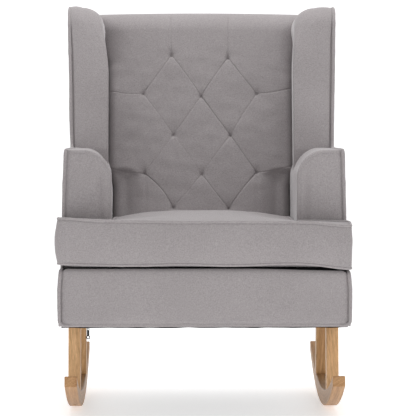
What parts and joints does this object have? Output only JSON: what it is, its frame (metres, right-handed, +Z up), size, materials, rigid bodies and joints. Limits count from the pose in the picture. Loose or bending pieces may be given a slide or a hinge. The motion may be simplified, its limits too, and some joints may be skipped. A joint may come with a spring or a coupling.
{
  "type": "rocking chair",
  "caption": "Upholstered wingback rocking chair with a diamond-tufted back, a loose T-shaped seat cushion and curved wooden runners.",
  "frame": {"origin": "on the floor where the runners touch it when the empty chair is at rest, midway between the runners", "axes": "+Z up, -Y the way the sitter faces, +X to the sitter's left"},
  "size_m": [0.704, 0.86, 1.0165],
  "materials": {
    "cover_fabric": "soft short-pile velvet, light warm grey",
    "deck_cloth": "black deck cloth over felt",
    "dust_cloth": "black non-woven cloth",
    "webbing": "elastic webbing and twine",
    "solid_wood": "clear satin lacquer on pale hardwood",
    "frame_timber": "sawn, unfinished",
    "plywood": "unfinished plywood",
    "hardboard": "hardboard",
    "spring_steel": "oiled spring wire",
    "zinc_steel": "zinc plated",
    "zip_tape": "black nylon coil on woven tape",
    "zip_metal": "black enamel, worn bright at the ring"
  },
  "bodies": {
    "chair": {"arm_front_board_left": "plywood", "arm_front_board_right": "plywood", "arm_liner_left": "hardboard", "arm_liner_right": "hardboard", "arm_pad_left": "cover_fabric", "arm_pad_right": "cover_fabric", "arm_top_board_left": "plywood", "arm_top_board_right": "plywood", "back_lower_rail": "frame_timber", "back_post_left": "frame_timber", "back_post_right": "frame_timber", "back_top_rail": "frame_timber", "back_webbing": "webbing", "corner_blocks": "frame_timber", "dust_cover": "dust_cloth", "front_leg_left": "solid_wood", "front_leg_right": "solid_wood", "front_panel": "cover_fabric", "inside_back_pad": "cover_fabric", "leg_bolts": "zinc_steel", "leg_dowels": "frame_timber", "leg_nuts": "zinc_steel", "leg_washers": "zinc_steel", "outside_back_panel": "cover_fabric", "rear_leg_left": "solid_wood", "rear_leg_right": "solid_wood", "rocker_runner_left": "solid_wood", "rocker_runner_right": "solid_wood", "runner_screws": "zinc_steel", "seat_deck": "deck_cloth", "seat_front_rail": "frame_timber", "seat_rear_rail": "frame_timber", "seat_side_rail_left": "frame_timber", "seat_side_rail_right": "frame_timber", "seat_springs": "spring_steel", "side_frame_left": "plywood", "side_frame_right": "plywood", "side_panel_left": "cover_fabric", "side_panel_right": "cover_fabric", "side_welt_left": "cover_fabric", "side_welt_right": "cover_fabric", "spring_clips": "spring_steel", "tuft_ties": "webbing", "wing_front_board_left": "plywood", "wing_front_board_right": "plywood", "wing_pad_left": "cover_fabric", "wing_pad_right": "cover_fabric", "zip_chain": "zip_tape"},
    "cushion": {"seat_cushion": "cover_fabric", "cushion_welt_lower": "cover_fabric", "cushion_welt_upper": "cover_fabric", "cushion_zip": "zip_tape"},
    "cushion_zip_slider": {"cushion_zip_slider": "zip_metal"},
    "zip_slider": {"zip_slider": "zip_metal"},
    "zip_pull": {"zip_pull": "zip_metal"}
  },
  "joints": [
    {"name": "cushion_lift", "type": "slide", "parent": "chair", "child": "cushion", "axis": [0, 0, 1], "range_m": [0, 0.25]},
    {"name": "cushion_zip_travel", "type": "slide", "parent": "cushion", "child": "cushion_zip_slider", "axis": [1, 0, 0], "range_m": [0, 0.33]},
    {"name": "zip_travel", "type": "slide", "parent": "chair", "child": "zip_slider", "axis": [0, 1, 0], "range_m": [0, 0.46]},
    {"name": "zip_pull_swing", "type": "hinge", "parent": "zip_slider", "child": "zip_pull", "pos_m": [-0.279, -0.357, 0.22553], "axis": [1, 0, 0], "range_deg": [-75, 75]}
  ]
}
